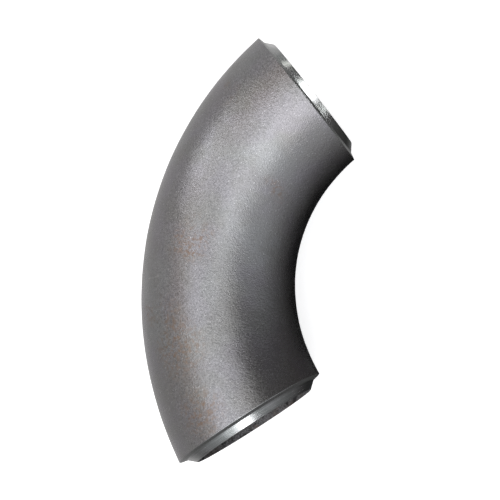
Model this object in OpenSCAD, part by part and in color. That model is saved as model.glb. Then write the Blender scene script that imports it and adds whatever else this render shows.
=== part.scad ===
/* [Pipe size] */
// outside diameter of the elbow and of the pipe it joins (NPS 14, DN 350)
outside_d = 355.6; // [323.9:0.1:406.4]
// wall thickness (Schedule 160)
wall_t = 35.71; // [22.23:0.01:40.49]

/* [Bend] */
// centre-to-end distance, which is also the bend radius of the centreline (long radius, 1.5 x NPS)
bend_r = 533.4; // [457.2:0.1:609.6]
// angle swept by the centreline, in degrees
bend_angle = 90; // [45:1:90]

/* [Weld ends] */
// width of the flat root face left at the bore, measured radially
root_face = 1.6; // [0.8:0.1:2.4]
// slope of the inner bevel, next to the root face, in degrees from the plane of the end (37.5 nominal)
bevel_angle = 40; // [35:0.5:40]
// radial distance from the bore to where the inner bevel meets the outer one
bevel_break = 19; // [16:0.5:20]
// slope of the outer bevel, in degrees from the plane of the end (10 nominal)
outer_bevel_angle = 12.5; // [7.5:0.5:12.5]

/* [Hidden] */
// curves are drawn as true circles and tori; this only sets how finely they are shown
$fn = 180;
outer_r = outside_d / 2;
bore_r = outer_r - wall_t;
land_r = bore_r + root_face;
break_r = bore_r + bevel_break;
break_z = (break_r - land_r) * tan(bevel_angle);
// the bevel cutter reaches past the outer surface, and past the end plane
bevel_over = 20;
end_over = 5;

// One turn of solid wall, swept round the bend. The bend's own axis is Z here,
// and the sweep starts on +X and turns towards +Y.
module pipe_bend() {
    rotate_extrude(angle = bend_angle)
        translate([bend_r, 0])
            difference() {
                circle(r = outer_r);
                circle(r = bore_r);
            }
}

// The ring of metal that is machined off a weld end for a compound bevel: a steep cone
// from the root face, then a shallow one out to the skin. The end plane is z = 0 and the
// metal lies on +Z.
module bevel_ring() {
    skin_z = break_z + (outer_r + bevel_over - break_r) * tan(outer_bevel_angle);
    rotate_extrude()
        polygon([
            [land_r, -end_over],
            [land_r, 0],
            [break_r, break_z],
            [outer_r + bevel_over, skin_z],
            [outer_r + bevel_over, -end_over]
        ]);
}

// One seamless piece. The first end's centre is the origin and it faces -X; the bend
// lies flat in the XY plane, turns towards +Y about [0, bend_r, 0], and with a
// 90 degree sweep the second end faces +Y at [bend_r, bend_r, 0].
module elbow_body() {
    color([0.42, 0.41, 0.40])
        difference() {
            translate([0, bend_r, 0])
                rotate([0, 0, -90])
                    pipe_bend();
            rotate([0, 90, 0])
                bevel_ring();
            translate([0, bend_r, 0])
                rotate([0, 0, bend_angle])
                    translate([0, -bend_r, 0])
                        rotate([0, -90, 0])
                            bevel_ring();
        }
}

elbow_body();
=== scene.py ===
import math

import bpy
import numpy as np
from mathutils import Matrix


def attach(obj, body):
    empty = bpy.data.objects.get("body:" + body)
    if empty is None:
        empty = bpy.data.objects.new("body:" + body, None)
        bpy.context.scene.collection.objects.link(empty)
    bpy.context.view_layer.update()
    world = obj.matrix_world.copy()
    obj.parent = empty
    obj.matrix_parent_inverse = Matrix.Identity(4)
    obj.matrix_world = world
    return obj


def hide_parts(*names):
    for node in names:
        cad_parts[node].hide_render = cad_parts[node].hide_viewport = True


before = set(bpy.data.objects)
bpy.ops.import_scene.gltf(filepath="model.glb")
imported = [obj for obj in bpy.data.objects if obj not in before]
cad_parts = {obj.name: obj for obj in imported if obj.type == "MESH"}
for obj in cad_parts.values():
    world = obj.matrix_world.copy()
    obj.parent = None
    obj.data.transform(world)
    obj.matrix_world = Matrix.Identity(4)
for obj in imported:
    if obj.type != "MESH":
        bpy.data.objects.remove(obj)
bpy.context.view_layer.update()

# ------------------------------------------------------------------ sizes, in metres, as in the CAD
R = 0.5334                      # centreline bend radius
RO = 0.1778                     # outside radius
RI = RO - 0.03571               # bore radius
LAND = RI + 0.0016              # outer edge of the root face
BRK = RI + 0.019                # where the two bevels meet
T_IN, T_OUT = math.tan(math.radians(40.0)), math.tan(math.radians(12.5))
BRK_H = (BRK - LAND) * T_IN
FLOOR_Z = -RO

NC = 288                        # round the section
N_SKIN = 236                    # along the outside
N_BORE = 60                     # along the bore


# ------------------------------------------------------------------ noise
def noise3(p, seed):
    """Gradient noise, about -1..1, for an (n, 3) array."""
    rng = np.random.default_rng(seed)
    perm = rng.permutation(256)
    g = rng.normal(size=(256, 3))
    g /= np.linalg.norm(g, axis=1)[:, None]
    i = np.floor(p).astype(np.int64)
    f = p - i
    u = f * f * f * (f * (f * 6 - 15) + 10)

    def at(dx, dy, dz):
        h = perm[(perm[(perm[(i[:, 0] + dx) & 255] + i[:, 1] + dy) & 255] + i[:, 2] + dz) & 255]
        return (g[h] * (f - np.array([dx, dy, dz]))).sum(1)

    def mix(a, b, t):
        return a + (b - a) * t

    x0 = mix(mix(at(0, 0, 0), at(1, 0, 0), u[:, 0]), mix(at(0, 1, 0), at(1, 1, 0), u[:, 0]), u[:, 1])
    x1 = mix(mix(at(0, 0, 1), at(1, 0, 1), u[:, 0]), mix(at(0, 1, 1), at(1, 1, 1), u[:, 0]), u[:, 1])
    return 1.6 * mix(x0, x1, u[:, 2])


def smooth(a, b, x):
    t = np.clip((x - a) / (b - a), 0.0, 1.0)
    return t * t * (3 - 2 * t)


# ------------------------------------------------------------------ the elbow's mesh: one closed grid
psi = np.linspace(0, 2 * np.pi, NC, endpoint=False)      # 0 is the outside of the bend, 90 degrees is up
cps, sps = np.cos(psi), np.sin(psi)


def torus(phi, rad):
    """Points on the torus of tube radius rad at sweep angle phi (per column), with normals."""
    phi = np.broadcast_to(phi, psi.shape)
    d = R + rad * cps
    p = np.stack([d * np.sin(phi), R - d * np.cos(phi), rad * sps * np.ones_like(phi)], 1)
    n = np.stack([cps * np.sin(phi), -cps * np.cos(phi), sps * np.ones_like(phi)], 1)
    return p, n


def end_point(h, rho, ang, end):
    """A point h behind an end's plane, rho from its axis."""
    if end == "a":
        return np.stack([h + 0 * rho, -rho * np.cos(ang), rho * np.sin(ang)], 1)
    return np.stack([R + rho * np.cos(ang), R - h - 0 * rho, rho * np.sin(ang)], 1)


# where the shallow bevel runs out on the skin, for each column
rho_e = np.full(NC, RO)
for _ in range(30):
    h_e = BRK_H + (rho_e - BRK) * T_OUT
    phi_e = np.arcsin(h_e / (R + RO * cps))
    y_e = (R + RO * cps) * np.cos(phi_e) - R
    z_e = RO * sps
    rho_e = np.hypot(y_e, z_e)
ang_e = np.arctan2(z_e, y_e)
ang_e = np.where(ang_e < -1e-9, ang_e + 2 * np.pi, ang_e)

SKIN, BEV_A, BEV_B, BORE = 0, 1, 2, 3
rows, row_mat, row_uv = [], [], []     # row_mat[k] is the material of the strip from row k to row k + 1


def add(points, mat, u):
    rows.append(points)
    row_mat.append(mat)
    row_uv.append(u)


# the skin, from end A to end B; the rows crowd towards the two edges
mean_edge = phi_e
ds_edge = [0.00045, 0.0014, 0.0032]
skin_t = np.linspace(0, 1, N_SKIN)
skin_phi = []
for s in ds_edge:
    skin_phi.append(phi_e + s / (R + RO * cps))
for t in skin_t[1:-1]:
    skin_phi.append(phi_e + 0.0032 / (R + RO * cps) + t * (np.pi / 2 - 2 * (phi_e + 0.0032 / (R + RO * cps))))
for s in reversed(ds_edge):
    skin_phi.append(np.pi / 2 - phi_e - s / (R + RO * cps))

dent_rng = np.random.default_rng(77)
dents = []
for _ in range(14):
    a, b = dent_rng.uniform(0.1, np.pi / 2 - 0.1), dent_rng.uniform(0, 2 * np.pi)
    q = np.array([(R + RO * math.cos(b)) * math.sin(a), R - (R + RO * math.cos(b)) * math.cos(a), RO * math.sin(b)])
    dents.append((q, dent_rng.uniform(0.004, 0.010), dent_rng.uniform(0.00012, 0.00035)))

for k, phi in enumerate(skin_phi):
    p, n = torus(phi, RO)
    along = np.minimum(phi - phi_e, np.pi / 2 - phi_e - phi) * (R + RO * cps)
    fade = smooth(0.0, 0.014, along)
    d = (0.00060 * noise3(p / 0.150 + 3.1, 11) + 0.00026 * noise3(p / 0.058 + 7.7, 12)
         + 0.00007 * noise3(p / 0.021 + 1.3, 13) + 0.00003 * noise3(p / 0.0105 + 4.3, 14))
    for q, rad, depth in dents:
        d = d - depth * np.exp(-((p - q) ** 2).sum(1) / rad ** 2)
    add(p + n * (d * fade)[:, None], SKIN, float(k) / (len(skin_phi) - 1))


def lerp(a, b, t):
    return a + (b - a) * t


def bevel_rows(end):
    """The rows across an end, from the skin's edge to the bore's edge, as (points, share of the way)."""
    out = []
    w1 = float(np.mean(rho_e)) - BRK
    n1, n2 = np.array([0.00045, 0.0014, 0.005, 0.010, w1 - 0.0016, w1 - 0.0005]) / w1, None
    for t in n1:
        out.append(end_point(lerp(h_e, BRK_H, t), lerp(rho_e, BRK, t), lerp(ang_e, psi, t), end))
    w2 = BRK - LAND
    for t in np.array([0.0005, 0.0016, 0.006, 0.0115, w2 - 0.0012, w2 - 0.00025]) / w2:
        out.append(end_point(lerp(BRK_H, 0.0, t) + 0 * psi, lerp(BRK, LAND, t) + 0 * psi, psi, end))
    for rho in (LAND - 0.0002, LAND - 0.0005, RI + 0.0006, RI + 0.00025):
        out.append(end_point(0 * psi, rho + 0 * psi, psi, end))
    return out


for k, p in enumerate(bevel_rows("b")):
    add(p, BEV_B, k / 15)

bore_phi = [np.pi / 2 - 0.00025 / (R + RI * cps), np.pi / 2 - 0.0012 / (R + RI * cps)]
for t in np.linspace(0, 1, N_BORE)[1:-1]:
    bore_phi.append(np.pi / 2 - 0.0012 / (R + RI * cps) - t * (np.pi / 2 - 0.0024 / (R + RI * cps)))
bore_phi += [0.0012 / (R + RI * cps), 0.00025 / (R + RI * cps)]
for k, phi in enumerate(bore_phi):
    p, n = torus(phi, RI)
    edge = np.minimum(phi, np.pi / 2 - phi) * (R + RI * cps)
    d = 0.00045 * noise3(p / 0.060 + 9.1, 21) + 0.00022 * noise3(p / 0.027 + 2.2, 22)
    add(p + n * (d * smooth(0.0, 0.02, edge))[:, None], BORE, k / (len(bore_phi) - 1))

for k, p in enumerate(reversed(bevel_rows("a"))):
    add(p, BEV_A, k / 15)

NR = len(rows)
verts = np.concatenate(rows)
r_idx, c_idx = np.meshgrid(np.arange(NR), np.arange(NC), indexing="ij")
r2, c2 = (r_idx + 1) % NR, (c_idx + 1) % NC
quads = np.stack([r_idx * NC + c_idx, r2 * NC + c_idx, r2 * NC + c2, r_idx * NC + c2], -1).reshape(-1, 4)

# the strip between two different zones goes to the machined side
mats = np.array(row_mat)
strip = mats.copy()
for k in range(NR):
    a, b = mats[k], mats[(k + 1) % NR]
    if a != b:
        strip[k] = a if a in (BEV_A, BEV_B) else b
face_mat = np.repeat(strip, NC)

mesh = bpy.data.meshes.new("elbow_steel")
mesh.vertices.add(len(verts))
mesh.vertices.foreach_set("co", verts.astype(np.float32).ravel())
mesh.loops.add(quads.size)
mesh.loops.foreach_set("vertex_index", quads.astype(np.int32).ravel())
mesh.polygons.add(len(quads))
mesh.polygons.foreach_set("loop_start", np.arange(0, quads.size, 4, dtype=np.int32))
mesh.polygons.foreach_set("material_index", face_mat.astype(np.int32))
mesh.update(calc_edges=True)
mesh.validate(verbose=False)
mesh.polygons.foreach_set("use_smooth", np.ones(len(quads), dtype=bool))

# texture space: four upright blocks, one per zone, wrapped round once from bottom to top
block = {SKIN: (0.004, 0.600), BEV_B: (0.925, 0.996), BORE: (0.612, 0.835), BEV_A: (0.845, 0.915)}
zone_rows = {z: [k for k in range(NR) if strip[k] == z] for z in block}
u_lo, u_hi = np.zeros(NR), np.zeros(NR)
for z, ks in zone_rows.items():
    a, b = block[z]
    n = len(ks)
    for j, k in enumerate(ks):
        u_lo[k], u_hi[k] = a + (b - a) * j / n, a + (b - a) * (j + 1) / n
uv = np.zeros((NR, NC, 4, 2), dtype=np.float32)
v0 = 0.004 + 0.992 * c_idx / NC
v1 = 0.004 + 0.992 * (c_idx + 1) / NC
uv[..., 0, 0], uv[..., 1, 0], uv[..., 2, 0], uv[..., 3, 0] = u_lo[:, None], u_hi[:, None], u_hi[:, None], u_lo[:, None]
uv[..., 0, 1], uv[..., 1, 1], uv[..., 2, 1], uv[..., 3, 1] = v0, v0, v1, v1
layer = mesh.uv_layers.new(name="OFBake")
layer.data.foreach_set("uv", uv.ravel())

elbow = bpy.data.objects.new("elbow_skin_and_bevels", mesh)
bpy.context.scene.collection.objects.link(elbow)


# ------------------------------------------------------------------ node helpers
class Nodes:
    def __init__(self, tree):
        self.t = tree
        tree.nodes.clear()

    def new(self, kind, **props):
        n = self.t.nodes.new(kind)
        for k, v in props.items():
            setattr(n, k, v)
        return n

    def link(self, a, b):
        self.t.links.new(a, b)

    def put(self, socket, value):
        if isinstance(value, bpy.types.NodeSocket):
            self.link(value, socket)
        else:
            socket.default_value = value

    def math(self, op, a, b=None, c=None, clamp=False):
        n = self.new("ShaderNodeMath", operation=op, use_clamp=clamp)
        for s, v in zip(n.inputs, (a, b, c)):
            if v is not None:
                self.put(s, v)
        return n.outputs[0]

    def vmath(self, op, a, b=None):
        n = self.new("ShaderNodeVectorMath", operation=op)
        self.put(n.inputs[0], a)
        if b is not None:
            self.put(n.inputs[1], b)
        return n.outputs["Value"] if op in ("DOT_PRODUCT", "LENGTH", "DISTANCE") else n.outputs["Vector"]

    def remap(self, x, a, b, lo=0.0, hi=1.0, smooth=True):
        n = self.new("ShaderNodeMapRange", interpolation_type="SMOOTHSTEP" if smooth else "LINEAR")
        self.put(n.inputs["Value"], x)
        for k, v in (("From Min", a), ("From Max", b), ("To Min", lo), ("To Max", hi)):
            self.put(n.inputs[k], v)
        return n.outputs["Result"]

    def noise(self, vec, scale, detail=2.0, rough=0.5, distort=0.0, dims="3D", w=None):
        n = self.new("ShaderNodeTexNoise", noise_dimensions=dims)
        if vec is not None and dims != "1D":
            self.link(vec, n.inputs["Vector"])
        if w is not None:
            self.put(n.inputs["W"], w)
        n.inputs["Scale"].default_value = scale
        n.inputs["Detail"].default_value = detail
        n.inputs["Roughness"].default_value = rough
        n.inputs["Distortion"].default_value = distort
        return n.outputs["Fac"] if "Fac" in n.outputs else n.outputs[0]

    def mix(self, fac, a, b, blend="MIX"):
        n = self.new("ShaderNodeMix", data_type="RGBA", blend_type=blend)
        self.put(n.inputs[0], fac)
        self.put(n.inputs[6], a)
        self.put(n.inputs[7], b)
        return n.outputs[2]

    def bump(self, height, distance, normal=None, strength=1.0):
        n = self.new("ShaderNodeBump")
        n.inputs["Strength"].default_value = strength
        n.inputs["Distance"].default_value = distance
        self.link(height, n.inputs["Height"])
        if normal is not None:
            self.link(normal, n.inputs["Normal"])
        return n.outputs["Normal"]


def material(name):
    m = bpy.data.materials.new(name)
    m.use_nodes = True
    return m, Nodes(m.node_tree)


def c4(r, g, b):
    return (r, g, b, 1.0)


def spot(n, pos, centre, inner, outer):
    """1 inside a ball round a point on the steel, 0 outside it, with a soft edge."""
    d = n.vmath("DISTANCE", pos, centre)
    return n.remap(d, inner, outer, 1.0, 0.0)


# ------------------------------------------------------------------ shot-blasted skin
def make_skin():
    m, n = material("shot_blasted_steel")
    pos = n.new("ShaderNodeTexCoord").outputs["Object"]

    # broad tone: blue grey to brown grey, with a purple cast in places
    broad = n.remap(n.noise(pos, 5.5, 3.0, 0.55), 0.36, 0.64)
    patch = n.remap(n.noise(pos, 17.0, 4.0, 0.6, 0.6), 0.40, 0.66)
    purple = n.remap(n.noise(n.vmath("ADD", pos, (3.1, 0.7, 5.2)), 9.0, 2.0, 0.5), 0.42, 0.62)
    base = n.mix(broad, c4(0.300, 0.303, 0.308), c4(0.272, 0.264, 0.262))
    base = n.mix(n.math("MULTIPLY", purple, 0.55), base, c4(0.290, 0.276, 0.302))
    base = n.mix(n.math("MULTIPLY", patch, 0.45), base, c4(0.252, 0.250, 0.240))

    # fine grain of the blasting
    grain = n.noise(pos, 430.0, 2.0, 0.6)
    grain2 = n.noise(pos, 215.0, 2.0, 0.55)
    g = n.math("ADD", n.math("MULTIPLY", grain, 0.58), n.math("MULTIPLY", grain2, 0.42))
    # the grain's colour contrast painted stronger on the top than on the flanks: painted sparkle where the light falls
    # on the top
    split = n.new("ShaderNodeSeparateXYZ")
    n.link(pos, split.inputs[0])
    painted_top_sparkle = n.remap(split.outputs["Z"], 0.140, 0.176, 0.35, 1.70)
    gc = n.math("ADD", n.math("MULTIPLY", n.math("SUBTRACT", g, 0.5), painted_top_sparkle), 0.5)
    base = n.mix(n.remap(gc, 0.30, 0.70, 0.0, 1.0, False), n.mix(1.0, base, c4(0.76, 0.76, 0.76), "MULTIPLY"),
                 n.mix(1.0, base, c4(1.24, 1.24, 1.24), "MULTIPLY"))

    # light flash rust, denser in a few patches
    rust_area = n.math("ADD", spot(n, pos, RUST_1, 0.015, 0.085), n.math("ADD", spot(n, pos, RUST_2, 0.01, 0.07), spot(n, pos, RUST_3, 0.01, 0.055)))
    rust_area = n.math("ADD", rust_area, n.remap(n.noise(n.vmath("ADD", pos, (9.0, 2.0, 4.0)), 7.0, 2.0, 0.5), 0.60, 0.72, 0.0, 0.6))
    rust_spots = n.remap(n.noise(n.vmath("ADD", pos, (1.0, 8.0, 2.0)), 115.0, 5.0, 0.7), 0.44, 0.66)
    rust = n.math("MULTIPLY", n.math("MINIMUM", rust_area, 1.0), rust_spots, clamp=True)
    base = n.mix(n.math("MULTIPLY", rust, 0.74), base, c4(0.262, 0.170, 0.112))

    # a faint scratch
    ax = n.vmath("SUBTRACT", pos, SCR_A)
    t = n.math("MULTIPLY", n.vmath("DOT_PRODUCT", ax, SCR_DIR), 1.0)
    tcl = n.math("MINIMUM", n.math("MAXIMUM", t, 0.0), SCR_LEN)
    sc = n.new("ShaderNodeVectorMath", operation="SCALE")
    sc.inputs[0].default_value = SCR_DIR
    n.link(tcl, sc.inputs["Scale"])
    off = n.vmath("LENGTH", n.vmath("SUBTRACT", ax, sc.outputs["Vector"]))
    wob = n.math("ADD", off, n.math("MULTIPLY", n.math("SUBTRACT", n.noise(pos, 60.0, 1.0), 0.5), 0.004))
    scratch = n.math("MULTIPLY", n.remap(wob, 0.0006, 0.0018, 1.0, 0.0), n.remap(n.noise(pos, 210.0, 2.0), 0.35, 0.55))
    base = n.mix(n.math("MULTIPLY", scratch, 0.60), base, c4(0.46, 0.45, 0.44))

    # bright flecks painted into the colour: painted glints where a blasted facet lies flat, with a smoother roughness
    # and a small bump there
    vor = n.new("ShaderNodeTexVoronoi")
    turn = n.new("ShaderNodeMapping")
    n.link(pos, turn.inputs["Vector"])
    turn.inputs["Rotation"].default_value = (0.71, 0.43, 0.95)
    n.link(turn.outputs["Vector"], vor.inputs["Vector"])
    vor.inputs["Scale"].default_value = 420.0
    sep = n.new("ShaderNodeSeparateColor")
    n.link(vor.outputs["Color"], sep.inputs[0])
    painted_glint_fleck = n.math("MULTIPLY", n.remap(sep.outputs[0], 0.90, 0.97, 0.0, 1.0, False), n.remap(vor.outputs["Distance"], 0.0, 0.55, 1.0, 0.0))
    base = n.mix(n.math("MULTIPLY", painted_glint_fleck, 0.70), base, c4(0.80, 0.80, 0.82))

    rough = n.math("ADD", n.remap(patch, 0.0, 1.0, 0.0, 0.05, False), n.remap(g, 0.32, 0.68, 0.16, 0.31, False))
    rough = n.math("ADD", rough, n.math("MULTIPLY", rust, 0.22))
    rough = n.math("SUBTRACT", rough, n.math("MULTIPLY", painted_glint_fleck, 0.10))

    nrm = n.bump(n.noise(n.vmath("ADD", pos, (4.0, 4.0, 4.0)), 95.0, 3.0, 0.5), 0.00020)
    nrm = n.bump(g, 0.00056, nrm)
    nrm = n.bump(vor.outputs["Distance"], 0.00008, nrm)

    p = n.new("ShaderNodeBsdfPrincipled")
    n.link(base, p.inputs["Base Color"])
    p.inputs["Metallic"].default_value = 1.0
    n.link(rough, p.inputs["Roughness"])
    n.link(nrm, p.inputs["Normal"])
    out = n.new("ShaderNodeOutputMaterial")
    n.link(p.outputs[0], out.inputs[0])
    return m


# ------------------------------------------------------------------ turned bevel and root face
def make_machined(end):
    m, n = material("turned_steel_" + end)
    pos = n.new("ShaderNodeTexCoord").outputs["Object"]
    centre, axis = ((0.0, 0.0, 0.0), (1.0, 0.0, 0.0)) if end == "a" else ((R, R, 0.0), (0.0, 1.0, 0.0))
    q = n.vmath("SUBTRACT", pos, centre)
    h = n.vmath("DOT_PRODUCT", q, axis)
    ax = n.new("ShaderNodeVectorMath", operation="SCALE")
    ax.inputs[0].default_value = axis
    n.link(h, ax.inputs["Scale"])
    radial = n.vmath("SUBTRACT", q, ax.outputs["Vector"])
    rho = n.vmath("LENGTH", radial)
    tang = n.vmath("NORMALIZE", n.vmath("CROSS_PRODUCT", axis, radial))

    # turning marks run round the end: noise over the radius, wavering a little along the way
    waver = n.math("MULTIPLY", n.math("SUBTRACT", n.noise(pos, 9.0, 1.0), 0.5), 0.0009)
    rw = n.math("ADD", rho, waver)
    marks = n.noise(None, 1500.0, 3.0, 0.6, dims="1D", w=rw)
    broad_marks = n.noise(None, 330.0, 2.0, 0.5, dims="1D", w=rw)
    streak = n.math("ADD", n.math("MULTIPLY", marks, 0.55), n.math("MULTIPLY", broad_marks, 0.45))

    smear = n.noise(pos, 32.0, 3.0, 0.6)
    base = n.mix(n.remap(smear, 0.36, 0.66), c4(0.46, 0.465, 0.465), c4(0.37, 0.385, 0.375))
    base = n.mix(n.remap(streak, 0.36, 0.64, 0.0, 1.0, False), n.mix(1.0, base, c4(0.84, 0.84, 0.84), "MULTIPLY"),
                 n.mix(1.0, base, c4(1.14, 1.14, 1.14), "MULTIPLY"))
    # first bloom of rust and finger marks
    bloom = n.remap(n.noise(n.vmath("ADD", pos, (2.0, 6.0, 1.0)), 46.0, 4.0, 0.65), 0.60, 0.72)
    base = n.mix(n.math("MULTIPLY", bloom, 0.35), base, c4(0.25, 0.20, 0.16))

    rough = n.math("ADD", n.remap(streak, 0.35, 0.65, 0.16, 0.26, False), n.math("MULTIPLY", bloom, 0.15))
    nrm = n.bump(streak, 0.00009)
    nrm = n.bump(n.noise(pos, 420.0, 2.0), 0.00001, nrm)

    p = n.new("ShaderNodeBsdfPrincipled")
    n.link(base, p.inputs["Base Color"])
    p.inputs["Metallic"].default_value = 1.0
    n.link(rough, p.inputs["Roughness"])
    p.inputs["Anisotropic"].default_value = 0.55
    n.link(tang, p.inputs["Tangent"])
    n.link(nrm, p.inputs["Normal"])
    out = n.new("ShaderNodeOutputMaterial")
    n.link(p.outputs[0], out.inputs[0])
    return m


# ------------------------------------------------------------------ rough bore
def make_bore():
    m, n = material("bore_scale")
    pos = n.new("ShaderNodeTexCoord").outputs["Object"]
    broad = n.remap(n.noise(pos, 12.0, 4.0, 0.6), 0.38, 0.64)
    grain = n.noise(pos, 300.0, 3.0, 0.6)
    lumps = n.noise(pos, 90.0, 4.0, 0.6)
    base = n.mix(broad, c4(0.200, 0.196, 0.200), c4(0.130, 0.115, 0.108))
    base = n.mix(n.remap(grain, 0.36, 0.66), n.mix(1.0, base, c4(0.6, 0.6, 0.6), "MULTIPLY"), n.mix(1.0, base, c4(1.5, 1.5, 1.5), "MULTIPLY"))
    # near-black patches laid over the bore wall's colour by a noise mask
    scale = n.remap(n.noise(n.vmath("ADD", pos, (5.0, 1.0, 3.0)), 38.0, 5.0, 0.7), 0.52, 0.60)
    base = n.mix(n.math("MULTIPLY", scale, 0.8), base, c4(0.028, 0.026, 0.026))
    rust = n.remap(n.noise(n.vmath("ADD", pos, (7.0, 5.0, 3.0)), 26.0, 5.0, 0.65), 0.56, 0.70)
    base = n.mix(n.math("MULTIPLY", rust, 0.5), base, c4(0.150, 0.085, 0.050))
    nrm = n.bump(lumps, 0.0009)
    nrm = n.bump(grain, 0.00035, nrm)
    p = n.new("ShaderNodeBsdfPrincipled")
    n.link(base, p.inputs["Base Color"])
    p.inputs["Metallic"].default_value = 0.75
    n.link(n.remap(grain, 0.3, 0.7, 0.55, 0.75, False), p.inputs["Roughness"])
    n.link(nrm, p.inputs["Normal"])
    out = n.new("ShaderNodeOutputMaterial")
    n.link(p.outputs[0], out.inputs[0])
    return m


def on_skin(sweep_deg, round_deg):
    """A point on the skin: sweep from end A to end B, and round from the outside of the bend over the top."""
    a, b = math.radians(sweep_deg), math.radians(round_deg)
    d = R + RO * math.cos(b)
    return (d * math.sin(a), R - d * math.cos(a), RO * math.sin(b))


RUST_1 = on_skin(69.5, 81.0)
RUST_2 = on_skin(83.0, 84.0)
RUST_3 = on_skin(47.0, 88.0)
SCR_A = on_skin(54.8, 54.0)
SCR_B = on_skin(54.3, 68.0)
SCR_LEN = math.dist(SCR_A, SCR_B)
SCR_DIR = tuple((b - a) / SCR_LEN for a, b in zip(SCR_A, SCR_B))

for mat in (make_skin(), make_machined("a"), make_machined("b"), make_bore()):
    mesh.materials.append(mat)

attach(elbow, "root")
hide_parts("elbow_body")

# ------------------------------------------------------------------ floor
fm = bpy.data.meshes.new("floor")
fm.from_pydata([(-14, -14, FLOOR_Z), (14, -14, FLOOR_Z), (14, 14, FLOOR_Z), (-14, 14, FLOOR_Z)], [], [(0, 1, 2, 3)])
floor = bpy.data.objects.new("floor", fm)
bpy.context.scene.collection.objects.link(floor)
m, n = material("pale_floor")
p = n.new("ShaderNodeBsdfPrincipled")
p.inputs["Base Color"].default_value = c4(0.86, 0.86, 0.86)
p.inputs["Roughness"].default_value = 0.9
p.inputs["Specular IOR Level"].default_value = 0.0
p.inputs["Emission Color"].default_value = c4(1.0, 1.0, 1.0)
p.inputs["Emission Strength"].default_value = 0.66
out = n.new("ShaderNodeOutputMaterial")
n.link(p.outputs[0], out.inputs[0])
fm.materials.append(m)
floor.visible_glossy = False

# ------------------------------------------------------------------ light
world = bpy.data.worlds.new("studio")
bpy.context.scene.world = world
world.use_nodes = True
n = Nodes(world.node_tree)
d = n.new("ShaderNodeTexCoord").outputs["Generated"]
sep = n.new("ShaderNodeSeparateXYZ")
n.link(d, sep.inputs[0])
inward = n.vmath("DOT_PRODUCT", d, (-0.7071, 0.7071, 0.0))
lean = n.math("ADD", inward, n.remap(sep.outputs["Z"], -0.95, -0.45, 0.35, 0.0))
g_out = n.remap(lean, 0.20, -0.20)                         # 1 on the side outside the bend
above = n.remap(sep.outputs["Z"], -0.88, 0.95)
low = n.remap(sep.outputs["Z"], -0.98, -0.55)              # 0 straight down
col = n.mix(low, c4(0.010, 0.010, 0.010), c4(0.095, 0.091, 0.091))
side = n.math("MULTIPLY", n.remap(sep.outputs["Y"], 0.15, 0.50, 1.0, 0.30), n.remap(sep.outputs["X"], -0.50, -0.85, 1.0, 0.60))
side = n.math("MULTIPLY", side, n.math("MULTIPLY", n.remap(sep.outputs["X"], 0.60, 1.0, 1.0, 0.84), n.remap(sep.outputs["Y"], -0.45, -0.95, 1.0, 1.38)))
outer = n.mix(side, c4(0, 0, 0), c4(0.585, 0.577, 0.580))
outer = n.mix(n.remap(sep.outputs["X"], -0.55, -0.80), outer, n.mix(1.0, outer, c4(0.90, 1.02, 1.04), "MULTIPLY"))
col = n.mix(g_out, col, outer)
glow = n.math("MULTIPLY", n.math("MULTIPLY", n.math("SUBTRACT", 1.0, g_out), above), n.remap(sep.outputs["Y"], 0.15, 0.80, 0.08, 1.35))
col = n.mix(1.0, col, n.mix(glow, c4(0, 0, 0), c4(0.72, 0.74, 0.78)), "ADD")
# the pale floor just in front of each end, which lights the shallow bevels
for axis, most in (((-0.385, -0.455, -0.803), 0.26), ((0.365, 0.475, -0.801), 0.06)):
    near = n.remap(n.vmath("DOT_PRODUCT", d, axis), 0.86, 0.985)
    col = n.mix(1.0, col, n.mix(near, c4(0, 0, 0), c4(most, most, most)), "ADD")
warm = n.math("MULTIPLY", g_out, n.remap(sep.outputs["Z"], 0.62, 0.86))
col = n.mix(1.0, col, n.mix(warm, c4(0, 0, 0), c4(0.12, 0.06, 0.0)), "ADD")
bg = n.new("ShaderNodeBackground")
n.link(col, bg.inputs["Color"])
bg.inputs["Strength"].default_value = 1.0
pale = n.new("ShaderNodeBackground")
pale.inputs["Color"].default_value = c4(0.93, 0.93, 0.93)
lp = n.new("ShaderNodeLightPath")
mx = n.new("ShaderNodeMixShader")
n.link(lp.outputs["Is Camera Ray"], mx.inputs[0])
n.link(bg.outputs[0], mx.inputs[1])
n.link(pale.outputs[0], mx.inputs[2])
out = n.new("ShaderNodeOutputWorld")
n.link(mx.outputs[0], out.inputs[0])


def panel(name, at, to, size, radiance, colour=(1, 1, 1), shape="RECTANGLE", size_y=None, spread=180.0, roll=0.0):
    """An area light at a point, facing another, of a given radiance."""
    from mathutils import Matrix, Vector
    light = bpy.data.lights.new(name, "AREA")
    light.shape = shape
    light.size = size
    if shape in ("RECTANGLE", "ELLIPSE"):
        light.size_y = size_y or size
    area = size * (size_y or size) * (math.pi / 4 if shape in ("DISK", "ELLIPSE") else 1.0)
    light.energy = radiance * 4.0 * area
    if spread < 179.0:                  # a narrowed light keeps its power, so take the gain back out
        h = math.radians(spread) / 2
        light.energy *= 2 * (math.sin(h) ** 2 / 2 - (h / 2 - math.sin(2 * h) / 4) / math.tan(h))
    light.color = colour
    light.spread = math.radians(spread)
    o = bpy.data.objects.new(name, light)
    z = (Vector(at) - Vector(to)).normalized()
    q = z.to_track_quat("Z", "Y").to_matrix().to_4x4()
    o.matrix_world = Matrix.Translation(at) @ q @ Matrix.Rotation(math.radians(roll), 4, "Z")
    bpy.context.scene.collection.objects.link(o)
    o.visible_camera = False
    return o


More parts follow.
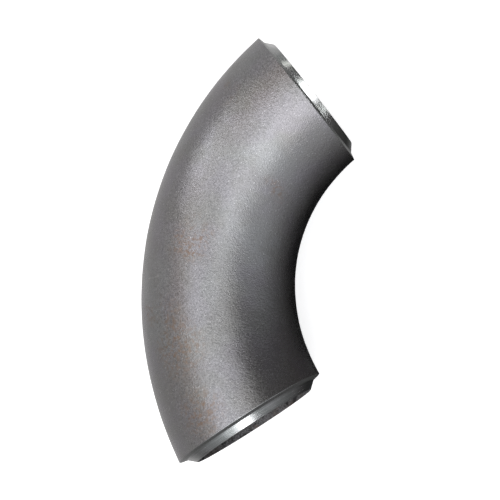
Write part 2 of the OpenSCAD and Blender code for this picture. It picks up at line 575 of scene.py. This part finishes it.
# the overhead softbox: one flat sheet of light, cut to a shape, brighter towards -Y
outline = [(-0.95, -0.02), (-0.03, 0.02), (0.05, -0.14), (0.14, -0.40), (0.50, -1.25), (1.34, -3.30), (1.86, -3.30),
           (1.64, -2.40), (1.08, -1.06), (0.96, -0.66), (1.06, -0.34), (1.38, 0.04), (1.78, 0.36), (2.00, 1.10), (1.30, 2.50),
           (-1.20, 3.10), (-1.80, 1.90), (-1.30, 0.90)]
sm = bpy.data.meshes.new("soft_top")
sm.from_pydata([(x, y, 2.2) for x, y in outline], [], [tuple(range(len(outline)))])
soft = bpy.data.objects.new("soft_top", sm)
bpy.context.scene.collection.objects.link(soft)
m, n = material("soft_top")
sp = n.new("ShaderNodeSeparateXYZ")
n.link(n.new("ShaderNodeTexCoord").outputs["Object"], sp.inputs[0])
level = n.math("MULTIPLY", n.remap(sp.outputs["Y"], -1.3, -0.2, 2.02, 1.36), n.remap(sp.outputs["Y"], 0.4, 1.5, 1.0, 1.75))
level = n.math("MULTIPLY", level, n.remap(sp.outputs["X"], -2.5, 0.5, 0.14, 1.0))
level = n.math("MULTIPLY", level, n.remap(sp.outputs["Y"], -2.9, -1.0, 1.3, 1.0))
em = n.new("ShaderNodeEmission")
em.inputs["Color"].default_value = c4(0.975, 0.985, 1.0)
n.link(level, em.inputs["Strength"])
out = n.new("ShaderNodeOutputMaterial")
n.link(em.outputs[0], out.inputs[0])
sm.materials.append(m)
soft.visible_camera = False

# a lower box over end A
panel("soft_a", (0.06, 0.11, 0.60), (0.06, 0.11, 0.0), 0.30, 0.44, (0.98, 0.99, 1.0), size_y=0.44)

# small strips that catch the turned bevels, each kept to its own end
PALE = (0.98, 0.99, 1.0)
panel("strip_b", (0.610, 1.312, 0.082), (0.490, 0.526, 0.146), 0.17, 5.2, PALE, size_y=0.26, spread=50.0)
panel("strip_b2", (0.800, 1.262, 0.080), (0.525, 0.526, 0.151), 0.16, 0.5, (0.93, 1.0, 1.0), size_y=0.26, spread=50.0)
panel("strip_a1", (-0.765, -0.075, 0.020), (0.007, 0.056, 0.140), 0.23, 7.0, PALE, size_y=0.26, spread=40.0)
panel("strip_a2", (-0.46, -0.37, 0.0), (0.007, -0.021, 0.150), 0.040, 2.8, (1.0, 0.99, 0.96), size_y=0.22, spread=40.0)
panel("strip_a3", (-0.465, 0.141, -0.042), (0.007, 0.097, 0.116), 0.014, 6.0, PALE, size_y=0.20, spread=40.0)

# ------------------------------------------------------------------ camera
from mathutils import Matrix

cam_data = bpy.data.cameras.new("camera")
cam_data.sensor_fit = "HORIZONTAL"
cam_data.sensor_width = 36.0
cam_data.lens = 568.237 / 500 * 36.0
cam_data.shift_x = (250 - 228.747) / 500
cam_data.shift_y = (212.521 - 250) / 500
cam_data.clip_start, cam_data.clip_end = 0.02, 200.0
cam = bpy.data.objects.new("camera", cam_data)
right = (-0.7665404892724267, 0.509132548831324, -0.39140736583067504)
up = (-0.6041013142424224, -0.7784570804894718, 0.1704880522687314)
back = (-0.21789281868975477, 0.36713569910365185, 0.9042865132285819)
at = (0.028732400844623123, 0.596893219496832, 1.2195130152157958)
cam.matrix_world = Matrix([[right[i], up[i], back[i], at[i]] for i in range(3)] + [[0, 0, 0, 1]])
bpy.context.scene.collection.objects.link(cam)
bpy.context.scene.camera = cam
bpy.context.scene.view_settings.view_transform = "Standard"
bpy.context.scene.view_settings.look = "None"
